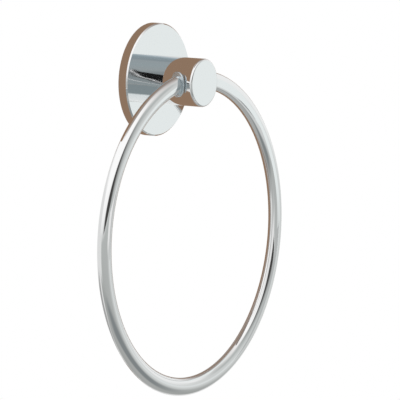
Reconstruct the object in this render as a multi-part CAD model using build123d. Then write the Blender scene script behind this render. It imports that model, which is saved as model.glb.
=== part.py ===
from build123d import *
import math
import os

# A towel ring for the wall: an oval bar bent into a ring hangs from a round post, which stands on a
# round rose over a hidden bracket. Millimetres. The wall is the plane y = 0, the front faces -Y,
# +Z is up, and the origin is the middle of the rose on the wall.

# Rose: a pressed cup that covers the bracket
rose_diameter = 55.0
rose_thickness = 5.0
rose_face_wall = 1.4
rose_rim_wall = 1.4
rose_edge_chamfer = 0.6

# Post: a turned stub with a rounded nose
post_diameter = 23.4
post_length = 26.7
nose_edge_radius = 1.0

# Ring: an open loop of oval bar, cut square at each side of the post
ring_inner_diameter = 141.2
bar_depth = 8.8
bar_thickness = 5.6
bar_clearance = 0.3

# Pins: the ends of the bar, turned down to swing in a hole in each side of the post
pin_setback = 7.2
pin_diameter = 5.0
pin_length = 7.0
pin_clearance = 0.12
pin_end_gap = 0.4

# Wall bracket: a plate with two screw slots and a boss that carries the post
bracket_diameter = 46.0
bracket_thickness = 2.5
boss_diameter = 14.0
boss_clearance = 0.15
boss_end_gap = 0.5
boss_socket_floor = 4.0
slot_spacing = 30.0
slot_length = 8.0
slot_width = 4.4
slot_countersink = 1.2
groove_depth = 1.2

# Grub screw under the post, which grips the groove of the boss
screw_diameter = 4.0
screw_clearance = 0.05
screw_recess = 0.6
screw_tip_diameter = 1.2
screw_tip_gap = 0.05
hex_key = 2.0
hex_depth = 2.0

post_radius = post_diameter / 2
boss_radius = boss_diameter / 2
pin_hole_radius = pin_diameter / 2 + pin_clearance
ring_radius = (ring_inner_diameter + bar_depth) / 2

# Distances from the wall
swing_axis = rose_thickness + post_length - pin_setback
boss_socket_end = swing_axis - pin_hole_radius - boss_socket_floor
boss_end = boss_socket_end - boss_end_gap
screw_place = (rose_thickness + boss_end) / 2

# Distances from the middle of the post: the bar's cut ends, the tips of the pins and the bottoms of their holes
shoulder = post_radius + bar_clearance
pin_tip = shoulder - pin_length
pin_hole_bottom = pin_tip - pin_end_gap

# The middle of the bar meets the swing axis where the bar is cut
ring_centre_height = -math.sqrt(ring_radius**2 - shoulder**2)


def wall_plane(distance):
    """A plane parallel to the wall, with its normal pointing away from it."""
    return Plane.XZ.offset(distance)


def turned(*profile):
    """A solid turned about the post's axis from a closed profile of (radius, distance from the wall)."""
    points = [(radius, -distance) for radius, distance in profile]
    return revolve(make_face(Polyline(*points, close=True)), Axis.Y)


def rose():
    """A shallow cup, open to the wall, with a hole for the bracket's boss and a chamfered front edge."""
    outer = rose_diameter / 2
    inner = outer - rose_rim_wall
    hole = boss_radius + boss_clearance
    inside = rose_thickness - rose_face_wall
    cup = turned(
        (hole, rose_thickness),
        (hole, inside),
        (inner, inside),
        (inner, 0),
        (outer, 0),
        (outer, rose_thickness),
    )
    front_edge = cup.edges().group_by(Axis.Y)[0].sort_by(SortBy.RADIUS)[-1]
    return chamfer(front_edge, rose_edge_chamfer)


def wall_bracket():
    """A round plate with two countersunk slots, and a boss with a V groove round it for the screw."""
    groove_bottom = boss_radius - groove_depth
    body = turned(
        (0, 0),
        (bracket_diameter / 2, 0),
        (bracket_diameter / 2, bracket_thickness),
        (boss_radius, bracket_thickness),
        (boss_radius, screw_place - groove_depth),
        (groove_bottom, screw_place),
        (boss_radius, screw_place + groove_depth),
        (boss_radius, boss_end),
        (0, boss_end),
    )
    for side in (-1, 1):
        slot = Pos(side * slot_spacing / 2, 0) * SlotOverall(slot_length, slot_width)
        body -= extrude(wall_plane(0) * slot, bracket_thickness)
    slot_edges = body.edges().filter_by(Plane.XZ).filter_by_position(
        Axis.Y, -bracket_thickness, -bracket_thickness
    )
    reach = (slot_spacing + slot_length) / 2
    slot_edges = slot_edges.filter_by(lambda edge: boss_radius < abs(edge.center().X) < reach)
    return chamfer(slot_edges, slot_countersink)


def cross_pin(side, radius, start):
    """A round pin along the swing axis on one side of the post, from this distance out to the bar's end."""
    base = Plane((side * start, -swing_axis, 0), z_dir=(side, 0, 0))
    return extrude(base * Circle(radius), shoulder - start)


def post():
    """A round stub: a socket behind for the boss, a pin hole in each side and a screw hole below."""
    body = extrude(wall_plane(rose_thickness) * Circle(post_radius), post_length)
    nose_edge = body.edges().group_by(Axis.Y)[0]
    body = fillet(nose_edge, nose_edge_radius)
    for side in (-1, 1):
        body -= cross_pin(side, pin_hole_radius, pin_hole_bottom)
    boss_socket = Circle(boss_radius + boss_clearance)
    body -= extrude(wall_plane(rose_thickness) * boss_socket, boss_socket_end - rose_thickness)
    screw_hole = Circle(screw_diameter / 2 + screw_clearance)
    return body - extrude(Plane((0, -screw_place, -post_radius)) * screw_hole, post_radius)


def grub_screw():
    """A headless screw, pointing up, with a cone point in the groove and a hex socket at its foot."""
    foot = screw_recess - post_radius
    groove_bottom = groove_depth - boss_radius
    point = groove_bottom - screw_tip_diameter / 2 - screw_tip_gap
    cone = (screw_diameter - screw_tip_diameter) / 2
    length = point - foot
    base = Plane((0, -screw_place, foot))
    body = extrude(base * Circle(screw_diameter / 2), length)
    body = chamfer(body.edges().group_by(Axis.Z)[-1], cone)
    hex_socket = RegularPolygon(hex_key / 2, 6, major_radius=False)
    return body - extrude(base * hex_socket, hex_depth)


def oval():
    """The bar's section: a tight arc at its inner and outer edge and two flatter arcs that meet them."""
    half_depth = bar_depth / 2
    half_thickness = bar_thickness / 2
    chord = math.hypot(half_depth, half_thickness)
    flat_radius = chord * (chord + half_depth - half_thickness) / bar_thickness
    side = flat_radius * half_depth / chord - flat_radius + half_thickness
    height = flat_radius * half_thickness / chord
    outline = [
        ThreePointArc((side, -height), (half_thickness, 0), (side, height)),
        ThreePointArc((side, height), (0, half_depth), (-side, height)),
        ThreePointArc((-side, height), (-half_thickness, 0), (-side, -height)),
        ThreePointArc((-side, -height), (0, -half_depth), (side, -height)),
    ]
    return make_face(outline)


def ring():
    """An oval section carried round into a loop, open where the post stands, with a pin on each end."""
    centre = (0, -swing_axis, ring_centre_height)
    top = Plane(centre, x_dir=(0, 1, 0), z_dir=(1, 0, 0))
    loop = revolve(top * Pos(0, ring_radius) * oval(), Axis(centre, (0, 1, 0)))
    loop -= Pos(0, -swing_axis, 0) * Box(2 * shoulder, 2 * bar_thickness, 2 * bar_depth)
    for side in (-1, 1):
        loop += cross_pin(side, pin_diameter / 2, pin_tip)
    return loop


os.makedirs("parts", exist_ok=True)
for piece in (rose, post, wall_bracket, grub_screw, ring):
    export_step(piece(), f"parts/{piece.__name__}.step")
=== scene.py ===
import bpy
import numpy as np
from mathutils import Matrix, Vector


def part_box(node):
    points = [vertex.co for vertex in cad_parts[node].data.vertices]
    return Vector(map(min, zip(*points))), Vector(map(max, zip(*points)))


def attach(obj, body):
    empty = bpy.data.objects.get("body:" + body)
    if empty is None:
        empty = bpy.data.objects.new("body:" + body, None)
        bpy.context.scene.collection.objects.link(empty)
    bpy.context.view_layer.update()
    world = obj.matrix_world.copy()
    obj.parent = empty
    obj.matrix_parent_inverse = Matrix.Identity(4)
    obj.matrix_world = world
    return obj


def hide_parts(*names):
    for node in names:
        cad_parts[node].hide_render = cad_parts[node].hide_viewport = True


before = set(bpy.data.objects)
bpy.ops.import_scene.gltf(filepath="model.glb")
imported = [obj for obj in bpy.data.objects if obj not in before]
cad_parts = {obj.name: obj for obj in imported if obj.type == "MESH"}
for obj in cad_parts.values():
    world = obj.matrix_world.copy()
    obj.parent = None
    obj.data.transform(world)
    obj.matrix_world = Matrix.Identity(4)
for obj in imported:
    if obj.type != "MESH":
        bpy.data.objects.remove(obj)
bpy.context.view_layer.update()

# Wall bracket: a turned steel plate with a boss, zinc plated, screwed to the wall through two slots.
# The rose hides it from the front, so only its back shows, with the dull bluish bloom of the plating.

zinc_dark = (0.42, 0.44, 0.46)
zinc_light = (0.60, 0.61, 0.62)
cloud_detail = 4
gloss_detail = 5
noise_low = 0.3
noise_high = 0.7


def new_material(name):
    """An empty node material with one Principled shader: gives the material, its nodes, links and shader."""
    material = bpy.data.materials.new(name)
    material.use_nodes = True
    nodes = material.node_tree.nodes
    return material, nodes, material.node_tree.links, nodes["Principled BSDF"]


def noise_between(nodes, links, scale, detail, low, high):
    """A noise on Object coordinates, in lumps of 1 / scale metres, spread from low to high.

    Nearly all of a noise lies between noise_low and noise_high, so these two go to low and high.
    """
    place = nodes.new("ShaderNodeTexCoord")
    noise = nodes.new("ShaderNodeTexNoise")
    noise.inputs["Scale"].default_value = scale
    noise.inputs["Detail"].default_value = detail
    spread = nodes.new("ShaderNodeMapRange")
    spread.inputs["From Min"].default_value = noise_low
    spread.inputs["From Max"].default_value = noise_high
    spread.inputs["To Min"].default_value = low
    spread.inputs["To Max"].default_value = high
    links.new(place.outputs["Object"], noise.inputs["Vector"])
    links.new(noise.outputs["Fac"], spread.inputs["Value"])
    return spread.outputs["Result"]


def clouded_metal(name, dark, light, cloud_scale, gloss_scale, smoothest, roughest):
    """A bare or plated metal: its colour clouds between two greys, and its gloss wanders."""
    material, nodes, links, shader = new_material(name)
    shader.inputs["Metallic"].default_value = 1.0
    cloud = nodes.new("ShaderNodeMix")
    cloud.data_type = "RGBA"
    cloud.inputs["A"].default_value = (*dark, 1)
    cloud.inputs["B"].default_value = (*light, 1)
    links.new(noise_between(nodes, links, cloud_scale, cloud_detail, 0.0, 1.0), cloud.inputs["Factor"])
    links.new(cloud.outputs["Result"], shader.inputs["Base Color"])
    gloss = noise_between(nodes, links, gloss_scale, gloss_detail, smoothest, roughest)
    links.new(gloss, shader.inputs["Roughness"])
    return material


def finish_node(name, material):
    """Gives a CAD node one material."""
    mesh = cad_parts[name].data
    mesh.materials.clear()
    mesh.materials.append(material)


zinc_plate = clouded_metal(
    "zinc_plate", zinc_dark, zinc_light, cloud_scale=180, gloss_scale=420, smoothest=0.28, roughest=0.45
)
finish_node("wall_bracket", zinc_plate)

# Rose: a shallow brass cup, turned, polished and chrome plated. It is pushed over the bracket's boss
# and held there by the post. Its front edge is broken by a narrow chamfer.

rose_wall = 0.0014
rose_hole_radius = 0.00715
rose_chamfer = 0.0006
rose_edge_round = 0.00012
rose_turn_steps = 256
rose_corner_steps = 6
chrome_tint = (0.87, 0.875, 0.88)
haze_scale = 90
haze_detail = 3
haze_smoothest = 0.025
haze_roughest = 0.06


def chrome_plate():
    """Polished chrome: a bright neutral metal with a faint haze that wanders over the plating."""
    material, nodes, links, shader = new_material("chrome_plate")
    shader.inputs["Metallic"].default_value = 1.0
    shader.inputs["Base Color"].default_value = (*chrome_tint, 1)
    haze = noise_between(nodes, links, haze_scale, haze_detail, haze_smoothest, haze_roughest)
    links.new(haze, shader.inputs["Roughness"])
    return material


def rounded_outline(corners, radius, steps):
    """A closed outline, material on its left, with an arc of one radius at each corner.

    The arc touches both runs. Its centre lies back along the first run by radius * tan(turn / 2)
    and across from it by the radius. Gives the points and their outward normals.
    """
    corners = np.array(corners)
    ahead = np.roll(corners, -1, axis=0) - corners
    ahead /= np.linalg.norm(ahead, axis=1, keepdims=True)
    before = np.roll(ahead, 1, axis=0)
    turn = np.arctan2(before[:, 0] * ahead[:, 1] - before[:, 1] * ahead[:, 0], (before * ahead).sum(axis=1))
    side = np.sign(turn)[:, None]
    right = np.stack([before[:, 1], -before[:, 0]], axis=1)
    centre = corners - before * radius * np.tan(np.abs(turn) / 2)[:, None] - side * radius * right
    angle = np.arctan2(right[:, 1], right[:, 0])[:, None] + turn[:, None] * np.linspace(0, 1, steps + 1)
    normal = np.stack([np.cos(angle), np.sin(angle)], axis=2)
    points = centre[:, None] + side[:, None] * radius * normal
    return points.reshape(-1, 2), normal.reshape(-1, 2)


def as_points(x, y, z):
    """Three arrays, spread to one shape and stacked as points."""
    return np.stack(np.broadcast_arrays(x, y, z), axis=2)


def turned_about_post(outline, normals, steps):
    """An outline of (radius, distance from the wall) turned about the post's axis into a closed skin.

    The point (r, d) at the angle a goes to (r sin a, -d, r cos a), and its normal turns with it.
    """
    angle = np.linspace(0, 2 * np.pi, steps, endpoint=False)

    def turn(pairs):
        across, out = pairs[:, :1], pairs[:, 1:]
        return as_points(across * np.sin(angle), -out, across * np.cos(angle))

    return turn(outline), turn(normals)


def grid_faces(rows, columns):
    """Four-sided faces over a grid of points that closes on itself both ways."""
    number = np.arange(rows * columns).reshape(rows, columns)
    below = np.roll(number, -1, axis=0)
    return np.stack([number, below, np.roll(below, -1, axis=1), np.roll(number, -1, axis=1)], axis=2)


def skin(name, points, normals, faces, material):
    """A smooth mesh at the origin, shaded by the normals worked out with its points."""
    mesh = bpy.data.meshes.new(name)
    mesh.from_pydata(points, [], faces)
    mesh.materials.append(material)
    mesh.shade_smooth()
    mesh.normals_split_custom_set_from_vertices(normals)
    piece = bpy.data.objects.new(name, mesh)
    bpy.context.scene.collection.objects.link(piece)
    return piece


chrome = chrome_plate()
rose_low, rose_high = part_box("rose")
rose_radius = (rose_high[0] - rose_low[0]) / 2
rose_front = -rose_low[1]
rose_corners = [
    (rose_hole_radius, rose_front),
    (rose_hole_radius, rose_front - rose_wall),
    (rose_radius - rose_wall, rose_front - rose_wall),
    (rose_radius - rose_wall, 0.0),
    (rose_radius, 0.0),
    (rose_radius, rose_front - rose_chamfer),
    (rose_radius - rose_chamfer, rose_front),
]
rose_outline, outline_normals = rounded_outline(rose_corners, rose_edge_round, rose_corner_steps)
rose_points, rose_normals = turned_about_post(rose_outline, outline_normals, rose_turn_steps)
rose = skin(
    "rose_cup",
    rose_points.reshape(-1, 3).tolist(),
    rose_normals.reshape(-1, 3).tolist(),
    grid_faces(*rose_points.shape[:2]).reshape(-1, 4).tolist(),
    chrome,
)
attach(rose, "holder")
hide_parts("rose")

# Post: a turned brass stub, chrome plated, with a flat nose and a hole in each side for the ring's pins.
# It slides over the bracket's boss, and the grub screw below draws it tight against the rose.

finish_node("post", chrome)

# Grub screw: a stainless steel screw with a hex socket in its foot, turned up into the post from
# below until its cone sits in the groove of the boss. It stays just under the post's surface.

steel_dark = (0.50, 0.49, 0.47)
steel_light = (0.62, 0.61, 0.59)
stainless = clouded_metal(
    "stainless", steel_dark, steel_light, cloud_scale=900, gloss_scale=2400, smoothest=0.2, roughest=0.34
)
finish_node("grub_screw", stainless)

# Ring: one oval brass bar bent into a loop, with both ends turned down to pins that swing in the post.
# It is polished and chrome plated in one go, pins and all.

bar_depth = 0.0088
bar_thickness = 0.0056
bar_end = 0.012
bar_edge_round = 0.0002
pin_radius = 0.0025
pin_length = 0.007
pin_root_round = 0.0002
pin_tip_round = 0.0004
bar_around_steps = 80
bar_along_steps = 640
round_steps = 5


def oval_section(around):
    """The bar's section, an ellipse, by the angle of the outward normal from the loop's outside.

    With half depth a and half thickness b, the point whose normal is (c, s) is
    (a * a * c, b * b * s) / sqrt((a * c) ** 2 + (b * s) ** 2).
    Gives the distance outwards from the bar's middle and the distance towards the front.
    """
    half_depth = bar_depth / 2
    half_thickness = bar_thickness / 2
    outward, forward = np.cos(around), np.sin(around)
    reach = np.hypot(half_depth * outward, half_thickness * forward)
    return half_depth**2 * outward / reach, half_thickness**2 * forward / reach


def ring_skin(ring_radius, centre_height, axis_distance):
    """The loop and its pins as rows of points round the bar, from the tip of one pin to the other.

    Along the loop a row's point lies at (radius + depth) from the ring's middle, at an even share of
    the angle between the bar's two cut ends. Each end is a quarter round into the flat cut, a quarter
    round out of it onto the pin, and a quarter round over the pin's tip.
    """
    around = np.linspace(0, 2 * np.pi, bar_around_steps, endpoint=False)[:, None]
    outward, forward = np.cos(around), np.sin(around)
    depth, thick = oval_section(around)
    quarter = np.linspace(0, np.pi / 2, round_steps + 1)

    reach = ring_radius + depth
    start = np.arcsin((bar_end + bar_edge_round) / reach)
    angle = start + (2 * np.pi - 2 * start) * np.linspace(0, 1, bar_along_steps + 1)
    loop = as_points(reach * np.sin(angle), -axis_distance - thick, centre_height + reach * np.cos(angle))
    loop_normal = as_points(outward * np.sin(angle), -forward, outward * np.cos(angle))

    inset = bar_edge_round * (1 - np.cos(quarter))
    edge_x = bar_end + bar_edge_round * (1 - np.sin(quarter))
    edge_reach = reach - inset * outward
    edge = as_points(
        edge_x,
        -axis_distance - thick + inset * forward,
        centre_height + np.sqrt(edge_reach**2 - edge_x**2),
    )
    edge_normal = as_points(-np.sin(quarter), -forward * np.cos(quarter), outward * np.cos(quarter))

    tip = bar_end - pin_length
    pin_x = np.concatenate(
        [
            bar_end - pin_root_round * (1 - np.cos(quarter)),
            tip + pin_tip_round * (1 - np.sin(quarter)),
        ]
    )
    pin_out = np.concatenate(
        [
            pin_radius + pin_root_round * (1 - np.sin(quarter)),
            pin_radius - pin_tip_round * (1 - np.cos(quarter)),
        ]
    )
    pin_lean = np.concatenate([np.pi / 2 - quarter, quarter])
    pin = as_points(pin_x, -axis_distance - pin_out * forward, pin_out * outward)
    pin_normal = as_points(-np.sin(pin_lean), -forward * np.cos(pin_lean), outward * np.cos(pin_lean))

    mirror = np.array([-1, 1, 1])
    right_end = np.concatenate([edge[:, 1:], pin], axis=1)
    right_normal = np.concatenate([edge_normal[:, 1:], pin_normal], axis=1)
    points = np.concatenate([right_end[:, ::-1], loop, right_end * mirror], axis=1)
    normals = np.concatenate([right_normal[:, ::-1], loop_normal, right_normal * mirror], axis=1)
    tips = np.array([(tip, -axis_distance, 0), (-tip, -axis_distance, 0)])
    tip_normals = np.array([(-1.0, 0, 0), (1.0, 0, 0)])
    return points, normals, tips, tip_normals


def tube_faces(rows, columns):
    """Faces over rows that close round a tube, with a fan of triangles at the middle of each end."""
    walls = grid_faces(rows, columns)[:, :-1].reshape(-1, 4).tolist()
    first = np.arange(rows) * columns
    after = np.roll(first, -1)
    near = np.full(rows, rows * columns)
    near_fan = np.stack([near, first, after], axis=1)
    far_fan = np.stack([near + 1, after + columns - 1, first + columns - 1], axis=1)
    return walls + near_fan.tolist() + far_fan.tolist()


ring_low, ring_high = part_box("ring")
ring_outer_radius = (ring_high[0] - ring_low[0]) / 2
ring_axis_distance = -(ring_low[1] + ring_high[1]) / 2
bar_points, bar_normals, pin_tips, pin_tip_normals = ring_skin(
    ring_outer_radius - bar_depth / 2,
    ring_low[2] + ring_outer_radius,
    ring_axis_distance,
)
ring = skin(
    "ring_bar",
    np.concatenate([bar_points.reshape(-1, 3), pin_tips]).tolist(),
    np.concatenate([bar_normals.reshape(-1, 3), pin_tip_normals]).tolist(),
    tube_faces(*bar_points.shape[:2]),
    chrome,
)
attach(ring, "hanging_ring")
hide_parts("ring")

# Washers: an oval steel washer on each end of the bar, pressed over it, rounded all round and zinc
# plated with a bluish tint. It turns with the ring and keeps the bar's cut end off the post.

washer_back = 0.01203
washer_front = 0.0132
washer_height = 0.0019
washer_side_height = 0.0009
washer_sink = 0.0003
washer_edge_round = 0.0004
washer_steps = 96
washer_corner_steps = 6
tinted_dark = (0.62, 0.69, 0.73)
tinted_light = (0.72, 0.79, 0.83)


def closed_normals(points):
    """Unit normals of a grid that closes on itself both ways: the cross product of its two steps."""
    down = np.roll(points, -1, axis=0) - np.roll(points, 1, axis=0)
    across = np.roll(points, -1, axis=1) - np.roll(points, 1, axis=1)
    normals = np.cross(down, across)
    return normals / np.linalg.norm(normals, axis=2, keepdims=True)


def washer_skin(side, axis_distance):
    """A rounded outline of (rise, distance) carried round the bar's section at one of its ends.

    A rise of 0 lies just under the bar's skin and 1 is the full height, along the section's normal.
    The washer is higher on the outside and inside of the loop than on its flat sides.
    """
    full = washer_sink + washer_height
    corners = [(0, washer_front), (0, washer_back), (full, washer_back), (full, washer_front)]
    outline, _ = rounded_outline(corners, washer_edge_round, washer_corner_steps)
    rise, distance = outline[:, :1] / full, outline[:, 1:]
    around = -side * np.linspace(0, 2 * np.pi, washer_steps, endpoint=False)
    outward, forward = np.cos(around), np.sin(around)
    depth, thick = oval_section(around)
    height = washer_side_height + (washer_height - washer_side_height) * outward**2
    swell = rise * (washer_sink + height) - washer_sink
    points = as_points(side * distance, -axis_distance - thick - swell * forward, depth + swell * outward)
    return points, closed_normals(points)


tinted_zinc = clouded_metal(
    "tinted_zinc", tinted_dark, tinted_light, cloud_scale=700, gloss_scale=1500, smoothest=0.24, roughest=0.34
)
for name, side in (("left_washer", -1), ("right_washer", 1)):
    washer_points, washer_normals = washer_skin(side, ring_axis_distance)
    washer = skin(
        name,
        washer_points.reshape(-1, 3).tolist(),
        washer_normals.reshape(-1, 3).tolist(),
        grid_faces(*washer_points.shape[:2]).reshape(-1, 4).tolist(),
        tinted_zinc,
    )
    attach(washer, "hanging_ring")

# Studio: a pale floor far below the ring and a soft pale room, which the camera sees as plain white.
# Cards around the part show only in the chrome, as they would beside a product that is photographed.
# Some show only in the first reflection, and some only where one chrome piece mirrors another.

floor_depth = -0.9
floor_half_width = 3.0
floor_pale = (0.55, 0.56, 0.555)
floor_roughness = 0.9
between_reflections = 1.5
board_brown = (0.30, 0.195, 0.13)
lower_board_brown = (0.34, 0.29, 0.26)
side_brown = (0.28, 0.235, 0.215)
edge_grey = (0.40, 0.40, 0.395)
pale_white = (0.87, 0.915, 0.91)
light_white = (0.88, 0.88, 0.875)
lower_grey = (0.49, 0.505, 0.50)
upper_grey = (0.66, 0.675, 0.67)
inner_grey = (0.57, 0.575, 0.57)
patch_grey = (0.37, 0.42, 0.43)
wedge_black = (0.012, 0.012, 0.012)
line_white = (1.0, 1.0, 1.0)
line_grey = (0.11, 0.115, 0.115)

# The cards stand at these distances in front of the wall, and below 0 they lie behind it.
board_distance = -0.001
patch_distance = -0.0005
near_distance = 0.06
front_distance = 0.10
nose_distance = 0.101
wedge_distance = 0.119
far_distance = 0.12
side_azimuth = 35


def flat_panel(name, corners, material):
    """One flat face through its corners, linked into the scene."""
    mesh = bpy.data.meshes.new(name)
    mesh.from_pydata(corners, [], [tuple(range(len(corners)))])
    mesh.materials.append(material)
    panel = bpy.data.objects.new(name, mesh)
    bpy.context.scene.collection.objects.link(panel)
    return panel


def pale_floor():
    """A pale diffuse floor, which the camera sees as plain white."""
    material, nodes, links, shader = new_material("pale_floor")
    shader.inputs["Base Color"].default_value = (*floor_pale, 1)
    shader.inputs["Roughness"].default_value = floor_roughness
    white = nodes.new("ShaderNodeEmission")
    path = nodes.new("ShaderNodeLightPath")
    mix = nodes.new("ShaderNodeMixShader")
    links.new(path.outputs["Is Camera Ray"], mix.inputs["Fac"])
    links.new(shader.outputs["BSDF"], mix.inputs[1])
    links.new(white.outputs["Emission"], mix.inputs[2])
    links.new(mix.outputs["Shader"], nodes["Material Output"].inputs["Surface"])
    return material


def colour_ramp(nodes, links, value, low, high, stops):
    """Colours along a value that runs from low to high: each stop is (value, colour)."""
    scale = nodes.new("ShaderNodeMapRange")
    scale.inputs["From Min"].default_value = low
    scale.inputs["From Max"].default_value = high
    links.new(value, scale.inputs["Value"])
    ramp = nodes.new("ShaderNodeValToRGB")
    links.new(scale.outputs["Result"], ramp.inputs["Fac"])
    elements = ramp.color_ramp.elements
    while len(elements) < len(stops):
        elements.new(0.5)
    for element, (at, colour) in zip(elements, stops):
        element.position = (at - low) / (high - low)
        element.color = (*colour, 1)
    return ramp.outputs["Color"]


def card_material(name, stops, shown, one_sided, fade):
    """A card that glows in colours across x, from both sides or from the front alone.

    It is shown in every reflection, in the first one alone or only in the later ones: a ray's glossy
    depth is 1 in the first and 2 in the next, and between_reflections parts them. A fade is
    (axis, place where the card is clear, place where it is full).
    """
    material, nodes, links, _ = new_material(name)
    glow = nodes.new("ShaderNodeEmission")
    place = nodes.new("ShaderNodeTexCoord")
    split = nodes.new("ShaderNodeSeparateXYZ")
    links.new(place.outputs["Object"], split.inputs["Vector"])
    low, high = stops[0][0], stops[-1][0]
    links.new(colour_ramp(nodes, links, split.outputs["X"], low, high, stops), glow.inputs["Color"])

    def only_where(factor, surface):
        """The surface where the factor is 1, and nothing where it is 0."""
        mix = nodes.new("ShaderNodeMixShader")
        links.new(factor, mix.inputs["Fac"])
        links.new(nodes.new("ShaderNodeBsdfTransparent").outputs["BSDF"], mix.inputs[1])
        links.new(surface, mix.inputs[2])
        return mix.outputs["Shader"]

    surface = glow.outputs["Emission"]
    if fade:
        axis, clear, full = fade
        step = nodes.new("ShaderNodeMapRange")
        step.interpolation_type = "SMOOTHSTEP"
        step.inputs["From Min"].default_value = clear
        step.inputs["From Max"].default_value = full
        links.new(split.outputs[axis], step.inputs["Value"])
        surface = only_where(step.outputs["Result"], surface)
    if one_sided:
        front = nodes.new("ShaderNodeMath")
        front.operation = "SUBTRACT"
        front.inputs[0].default_value = 1.0
        links.new(nodes.new("ShaderNodeNewGeometry").outputs["Backfacing"], front.inputs[1])
        surface = only_where(front.outputs["Value"], surface)
    if shown != "always":
        test = nodes.new("ShaderNodeMath")
        test.operation = {"first": "LESS_THAN", "later": "GREATER_THAN"}[shown]
        test.inputs[1].default_value = between_reflections
        links.new(nodes.new("ShaderNodeLightPath").outputs["Glossy Depth"], test.inputs[0])
        surface = only_where(test.outputs["Value"], surface)
    links.new(surface, nodes["Material Output"].inputs["Surface"])
    return material


def reflected_card(name, corners, stops, shown="always", one_sided=False, fade=None):
    """A flat card through its corners that only the chrome sees."""
    card = flat_panel(name, corners, card_material(name, stops, shown, one_sided, fade))
    card.visible_camera = False
    card.visible_diffuse = False
    card.visible_shadow = False


def plain(colour):
    """Colour stops for a card of one colour."""
    return [(-1, colour), (1, colour)]


def facing_wall(distance, *outline):
    """Corners on a plane parallel to the wall, from points of (x, z)."""
    return [(x, -distance, z) for x, z in outline]


def level(height, *outline):
    """Corners on a level plane, from points of (x, y)."""
    return [(x, y, height) for x, y in outline]


def upright(azimuth, *outline):
    """Corners on an upright plane that leaves the post's axis at this azimuth, from points of (reach, z)."""
    turn = np.radians(azimuth)
    return [(reach * np.sin(turn), -reach * np.cos(turn), z) for reach, z in outline]


floor_corners = [
    (floor_half_width * x, floor_half_width * y) for x, y in ((-1, -1), (1, -1), (1, 1), (-1, 1))
]
floor = flat_panel("floor", level(floor_depth, *floor_corners), pale_floor())
floor.visible_glossy = False
gap_radius = 0.0272
gap_steps = 64
gap_turns = np.linspace(0, 2 * np.pi, gap_steps + 1)
gap_behind_rose = [(gap_radius * np.sin(turn), gap_radius * np.cos(turn)) for turn in gap_turns]
reflected_card(
    "brown_board",
    facing_wall(
        board_distance,
        (-0.085, 0.11),
        (-0.085, 0.04),
        (-0.066, 0.001),
        (-0.0495, -0.017),
        (-0.046, -0.04),
        (-0.042, -0.062),
        (0.03, -0.066),
        (0.055, -0.09),
        (0.06, -0.155),
        (0.13, -0.155),
        (0.13, 0.11),
        (0.0, 0.11),
        *gap_behind_rose,
        (0.0, 0.11),
    ),
    plain(board_brown),
    fade=("Z", 0.11, 0.055),
)
reflected_card(
    "lower_board",
    facing_wall(
        board_distance,
        (-0.042, -0.062),
        (-0.042, -0.165),
        (0.06, -0.165),
        (0.06, -0.155),
        (0.055, -0.09),
        (0.03, -0.066),
    ),
    plain(lower_board_brown),
    shown="first",
)
reflected_card(
    "edge_card",
    facing_wall(board_distance, (-0.1, -0.085), (-0.1, -0.14), (-0.0425, -0.14), (-0.0425, -0.085)),
    plain(edge_grey),
    shown="first",
    fade=("Z", -0.085, -0.10),
)
reflected_card(
    "brown_side",
    upright(
        side_azimuth,
        (0.0, 0.4),
        (0.113, 0.4),
        (0.113, -0.049),
        (0.093, -0.053),
        (0.085, -0.06),
        (0.02, -0.06),
    ),
    plain(side_brown),
    shown="first",
    one_sided=True,
)
reflected_card(
    "brown_foot",
    upright(
        side_azimuth,
        (0.026, -0.0865),
        (0.0575, -0.0865),
        (0.047, -0.103),
        (0.042, -0.12),
        (0.038, -0.16),
        (0.03, -0.16),
    ),
    plain(side_brown),
    shown="first",
    one_sided=True,
)
reflected_card(
    "pale_card",
    facing_wall(front_distance, (0.108, -0.03), (0.108, -0.11), (0.19, -0.11), (0.19, -0.03)),
    plain(pale_white),
    shown="first",
    fade=("Z", -0.11, -0.07),
)
reflected_card(
    "nose_card",
    facing_wall(nose_distance, (0.083, 0.012), (0.083, -0.058), (0.178, -0.058), (0.178, 0.012)),
    plain(pale_white),
    shown="first",
)
reflected_card(
    "light_card",
    facing_wall(front_distance, (-0.03, -0.06), (-0.03, -0.092), (0.055, -0.092), (0.055, -0.06)),
    plain(light_white),
    shown="first",
    fade=("Z", -0.092, -0.08),
)
reflected_card(
    "lower_card",
    facing_wall(near_distance, (0.086, -0.085), (0.086, -0.155), (0.122, -0.155), (0.122, -0.085)),
    plain(lower_grey),
    shown="first",
    fade=("X", 0.122, 0.10),
)
reflected_card(
    "upper_card",
    facing_wall(near_distance, (0.062, -0.0415), (0.062, -0.062), (0.085, -0.062), (0.085, -0.0415)),
    plain(upper_grey),
    shown="first",
    fade=("Z", -0.062, -0.05),
)
reflected_card(
    "inner_card",
    facing_wall(near_distance, (-0.025, -0.055), (-0.025, -0.087), (0.035, -0.087), (0.035, -0.055)),
    plain(inner_grey),
    shown="first",
)
reflected_card(
    "grey_patch",
    facing_wall(patch_distance, (-0.35, 0.12), (-0.35, -0.11), (-0.045, -0.11), (-0.045, 0.02)),
    plain(patch_grey),
    shown="later",
)
reflected_card(
    "blue_grey_card",
    facing_wall(
        far_distance,
        (-0.215, 0.26),
        (-0.215, -0.082),
        (-0.12, -0.062),
        (0.17, 0.04),
        (0.17, 0.26),
    ),
    [
        (-0.215, (0.30, 0.34, 0.35)),
        (-0.15, (0.29, 0.325, 0.335)),
        (-0.125, (0.37, 0.41, 0.42)),
        (-0.05, (0.36, 0.42, 0.44)),
        (0.03, (0.36, 0.41, 0.43)),
        (0.06, (0.29, 0.345, 0.37)),
        (0.12, (0.315, 0.385, 0.42)),
        (0.145, (0.46, 0.54, 0.58)),
        (0.17, (0.70, 0.76, 0.80)),
    ],
    shown="later",
)
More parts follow.
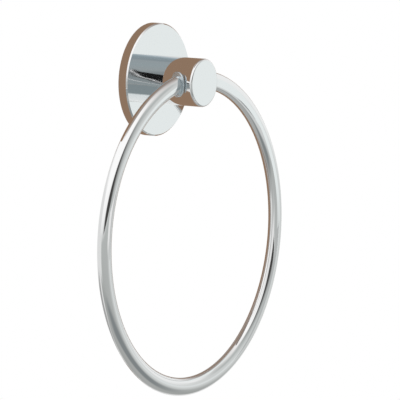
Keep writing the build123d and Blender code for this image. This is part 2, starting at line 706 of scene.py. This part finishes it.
reflected_card(
    "under_card",
    facing_wall(
        far_distance,
        (-0.215, -0.082),
        (-0.215, -0.2),
        (0.2, -0.2),
        (0.2, -0.03),
        (0.12, -0.09),
        (-0.12, -0.062),
    ),
    [
        (-0.215, (0.27, 0.32, 0.335)),
        (-0.06, (0.27, 0.32, 0.335)),
        (-0.035, (0.85, 0.90, 0.90)),
        (0.13, (0.95, 0.97, 0.96)),
    ],
    shown="later",
)
wedge_edge = [
    (-0.118, 0.118),
    (-0.1455, 0.088),
    (-0.1565, 0.075),
    (-0.1715, 0.046),
    (-0.1825, 0.028),
    (-0.1875, 0.018),
    (-0.1915, 0.001),
    (-0.1955, -0.019),
    (-0.2, -0.05),
]
strip_across = 0.85
strip_down = -0.53
white_line_width = 0.0025
dark_line_end = 0.008


def beside_wedge(near, far):
    """Corners of a strip along the wedge's lower edge, between two widths measured down and across it."""
    edge = [(x + near * strip_across, z + near * strip_down) for x, z in wedge_edge]
    edge += [(x + far * strip_across, z + far * strip_down) for x, z in reversed(wedge_edge)]
    return facing_wall(wedge_distance, *edge)


reflected_card(
    "black_wedge",
    facing_wall(
        wedge_distance,
        (-0.105, 0.13),
        (-0.137, 0.108),
        (-0.172, 0.098),
        (-0.24, 0.095),
        (-0.24, -0.05),
        *wedge_edge[::-1],
    ),
    plain(wedge_black),
    shown="later",
)
reflected_card("white_line", beside_wedge(0.0, white_line_width), plain(line_white), shown="later")
reflected_card("dark_line", beside_wedge(white_line_width, dark_line_end), plain(line_grey), shown="later")

# Edges that no direction reaches: a patch with them goes all round the room, or up to its top.
all_left = (-400, -300)
all_right = (400, 300)
no_top = (180, 90)


def studio_room(world):
    """The room by direction: a ramp of colours by height, with soft patches laid over it.

    The azimuth is the angle of (x, -y) from the front, and the elevation is the arcsine of z.
    """
    world.use_nodes = True
    nodes = world.node_tree.nodes
    links = world.node_tree.links
    place = nodes.new("ShaderNodeTexCoord")
    split = nodes.new("ShaderNodeSeparateXYZ")
    links.new(place.outputs["Generated"], split.inputs["Vector"])

    def worked_out(operation, a, b=None):
        """One sum on sockets or plain numbers."""
        node = nodes.new("ShaderNodeMath")
        node.operation = operation
        for socket, value in zip(node.inputs, (a, b)):
            if isinstance(value, (int, float)):
                socket.default_value = value
            elif value is not None:
                links.new(value, socket)
        return node.outputs["Value"]

    def in_degrees(angle):
        """An angle in radians, times 180 / pi."""
        return worked_out("MULTIPLY", angle, 180 / np.pi)

    towards_front = worked_out("MULTIPLY", split.outputs["Y"], -1)
    azimuth = in_degrees(worked_out("ARCTAN2", split.outputs["X"], towards_front))
    elevation = in_degrees(worked_out("ARCSINE", split.outputs["Z"]))

    def smooth(angle, outside, inside):
        """Rises from 0 at one angle to 1 at the other."""
        step = nodes.new("ShaderNodeMapRange")
        step.interpolation_type = "SMOOTHSTEP"
        step.inputs["From Min"].default_value = outside
        step.inputs["From Max"].default_value = inside
        links.new(angle, step.inputs["Value"])
        return step.outputs["Result"]

    def over(below, colour, factor):
        """Lays a colour over what is below it, by the factor."""
        mix = nodes.new("ShaderNodeMix")
        mix.data_type = "RGBA"
        mix.inputs["B"].default_value = (*colour, 1)
        links.new(factor, mix.inputs["Factor"])
        links.new(below, mix.inputs["A"])
        return mix.outputs["Result"]

    def above(slope):
        """The elevation above a line that rises to the right by the slope."""
        return worked_out("SUBTRACT", elevation, worked_out("MULTIPLY", azimuth, slope))

    def with_patch(room, colour, left, right, bottom, top, bottom_slope=0.0, top_slope=0.0):
        """Lays a soft patch over the room, each edge given as (degrees outside, degrees inside).

        Its bottom and top edges rise to the right by their slopes.
        """
        within_sides = worked_out("MULTIPLY", smooth(azimuth, *left), smooth(azimuth, *right))
        over_bottom = smooth(above(bottom_slope), *bottom)
        within_height = worked_out("MULTIPLY", over_bottom, smooth(above(top_slope), *top))
        return over(room, colour, worked_out("MULTIPLY", within_sides, within_height))

    room = colour_ramp(
        nodes,
        links,
        elevation,
        -90,
        90,
        [
            (-90, (0.40, 0.41, 0.40)),
            (-60, (0.43, 0.44, 0.43)),
            (-36, (0.38, 0.395, 0.385)),
            (-24, (0.45, 0.465, 0.455)),
            (-3, (0.50, 0.52, 0.51)),
            (1, (0.72, 0.73, 0.725)),
            (5, (0.88, 0.885, 0.88)),
            (12, (1.0, 1.0, 0.995)),
            (30, (1.1, 1.095, 1.09)),
        ],
    )
    room = with_patch(room, (0.80, 0.81, 0.80), (-140, -120), (-48, -72), (-30, -18), (4, 0))
    room = with_patch(room, (0.80, 0.80, 0.795), (86, 100), (200, 190), (-62, -40), (45, 20))
    room = with_patch(room, (0.80, 0.80, 0.795), (-200, -190), (-90, -104), (-62, -40), (45, 20))
    room = with_patch(room, (0.24, 0.26, 0.265), (-60, -5), (66, 44), (-58, -46), (-22, -33), 0.15, 0.15)
    room = with_patch(room, (0.33, 0.285, 0.26), (5, 85), (175, 140), (12, 40), no_top)
    room = with_patch(room, (0.50, 0.525, 0.515), (8, 30), (62, 44), (-9, 0), (42, 16))
    room = with_patch(room, (0.68, 0.70, 0.69), (28, 54), (125, 100), (-28, -12), (14, 4))
    room = with_patch(room, (0.92, 0.93, 0.925), (52, 66), (112, 92), (-8, 0), (26, 14))
    room = with_patch(room, (0.78, 0.81, 0.805), (51.5, 54.5), (61.5, 58.5), (-13, -10), (-3, -6))
    room = with_patch(room, (0.06, 0.058, 0.056), (-42, -14), (36, 12), (-0.4, 0.6), (22.5, 14), 0.0, 0.4)
    room = with_patch(room, (0.36, 0.305, 0.275), all_left, all_right, (64, 78), no_top)
    room = over(room, (1, 1, 1), nodes.new("ShaderNodeLightPath").outputs["Is Camera Ray"])
    links.new(room, nodes["Background"].inputs["Color"])


world = bpy.data.worlds.new("studio_room")
bpy.context.scene.world = world
studio_room(world)

# Camera: a long lens at the photo's viewing angle, to the left of the ring and a little above it.
# The colours are shown as they are, with the Standard view.

view_azimuth = np.radians(-56.54)
view_elevation = np.radians(8.104)
view_distance = 2.0
view_target = Vector((0.013609, -0.020, -0.059625))
lens_in_image_widths = 10.2185
sensor_width = 36.0

back = Vector(
    (
        np.sin(view_azimuth) * np.cos(view_elevation),
        -np.cos(view_azimuth) * np.cos(view_elevation),
        np.sin(view_elevation),
    )
)
camera_data = bpy.data.cameras.new("camera")
camera_data.sensor_width = sensor_width
camera_data.lens = lens_in_image_widths * sensor_width
camera = bpy.data.objects.new("camera", camera_data)
camera.location = view_target + view_distance * back
camera.rotation_euler = (-back).to_track_quat("-Z", "Y").to_euler()
bpy.context.scene.collection.objects.link(camera)
bpy.context.scene.camera = camera
bpy.context.scene.view_settings.view_transform = "Standard"
